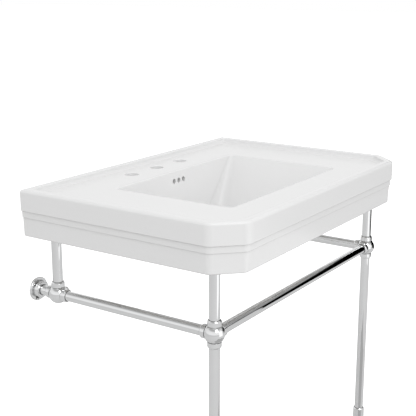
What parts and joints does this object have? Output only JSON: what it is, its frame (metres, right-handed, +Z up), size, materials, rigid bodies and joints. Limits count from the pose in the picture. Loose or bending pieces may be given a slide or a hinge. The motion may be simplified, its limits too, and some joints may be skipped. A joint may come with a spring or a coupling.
{
  "type": "console wash basin",
  "caption": "White ceramic wash basin with raised rim and canted front corners on a polished tube frame with front legs, wall flanges and adjustable feet.",
  "frame": {"origin": "on the floor, in the middle of the plan of the whole part, its wall screws and bolts included", "axes": "+Z up; +Y towards the wall, whose face is at y 0.255; +X to the right of a person using the basin"},
  "size_m": [0.83, 0.63, 0.864],
  "materials": {
    "ceramic": "white glazed ceramic",
    "chrome": "polished chrome plate",
    "steel": "zinc plated steel",
    "brass": "turned brass",
    "rubber": "black rubber",
    "plastic": "white nylon"
  },
  "bodies": {
    "console": {"basin": "ceramic", "ball_front_left": "chrome", "post_front_left": "chrome", "collar_front_left_top": "chrome", "collar_front_left_bottom": "chrome", "collar_front_left_side": "chrome", "collar_front_left_front": "chrome", "ball_front_right": "chrome", "post_front_right": "chrome", "collar_front_right_top": "chrome", "collar_front_right_bottom": "chrome", "collar_front_right_side": "chrome", "collar_front_right_front": "chrome", "ball_rear_left": "chrome", "post_rear_left": "chrome", "collar_rear_left_top": "chrome", "collar_rear_left_side": "chrome", "collar_rear_left_wall": "chrome", "ball_rear_right": "chrome", "post_rear_right": "chrome", "collar_rear_right_top": "chrome", "collar_rear_right_side": "chrome", "collar_rear_right_wall": "chrome", "front_rail": "chrome", "side_rail_left": "chrome", "leg_left": "chrome", "wall_stub_left": "chrome", "wall_flange_left": "chrome", "flange_screws_left": "chrome", "blanking_plug_left": "chrome", "side_rail_right": "chrome", "leg_right": "chrome", "wall_stub_right": "chrome", "wall_flange_right": "chrome", "flange_screws_right": "chrome", "blanking_plug_right": "chrome", "joint_studs_front": "steel", "joint_studs_rear": "steel", "flange_set_screws": "steel", "wall_bolts": "steel", "wall_bolt_washers": "steel", "wall_bolt_nuts": "steel", "tube_plugs_front": "brass", "tube_plugs_rear": "brass", "leg_nut_left": "brass", "leg_nut_right": "brass", "post_pads": "rubber", "post_caps": "plastic", "wall_bolt_bushes": "plastic"},
    "left_foot_pad": {"foot_pad_left": "rubber"},
    "left_foot": {"foot_base_left": "chrome", "foot_sleeve_left": "chrome", "levelling_stud_left": "steel"},
    "right_foot_pad": {"foot_pad_right": "rubber"},
    "right_foot": {"foot_base_right": "chrome", "foot_sleeve_right": "chrome", "levelling_stud_right": "steel"}
  },
  "joints": [
    {"name": "left_foot_travel", "type": "slide", "parent": "console", "child": "left_foot_pad", "axis": [0, 0, -1], "range_m": [0, 0.012]},
    {"name": "left_foot_turn", "type": "hinge", "parent": "left_foot_pad", "child": "left_foot", "pos_m": [-0.37, -0.242, 0.1], "axis": [0, 0, -1], "range_deg": [0, 2469]},
    {"name": "right_foot_travel", "type": "slide", "parent": "console", "child": "right_foot_pad", "axis": [0, 0, -1], "range_m": [0, 0.012]},
    {"name": "right_foot_turn", "type": "hinge", "parent": "right_foot_pad", "child": "right_foot", "pos_m": [0.37, -0.242, 0.1], "axis": [0, 0, -1], "range_deg": [0, 2469]}
  ],
  "couplings": [
    {"joint": "left_foot_turn", "follows": "left_foot_travel", "rad_per_m": 3590.4},
    {"joint": "right_foot_turn", "follows": "right_foot_travel", "rad_per_m": 3590.4}
  ]
}
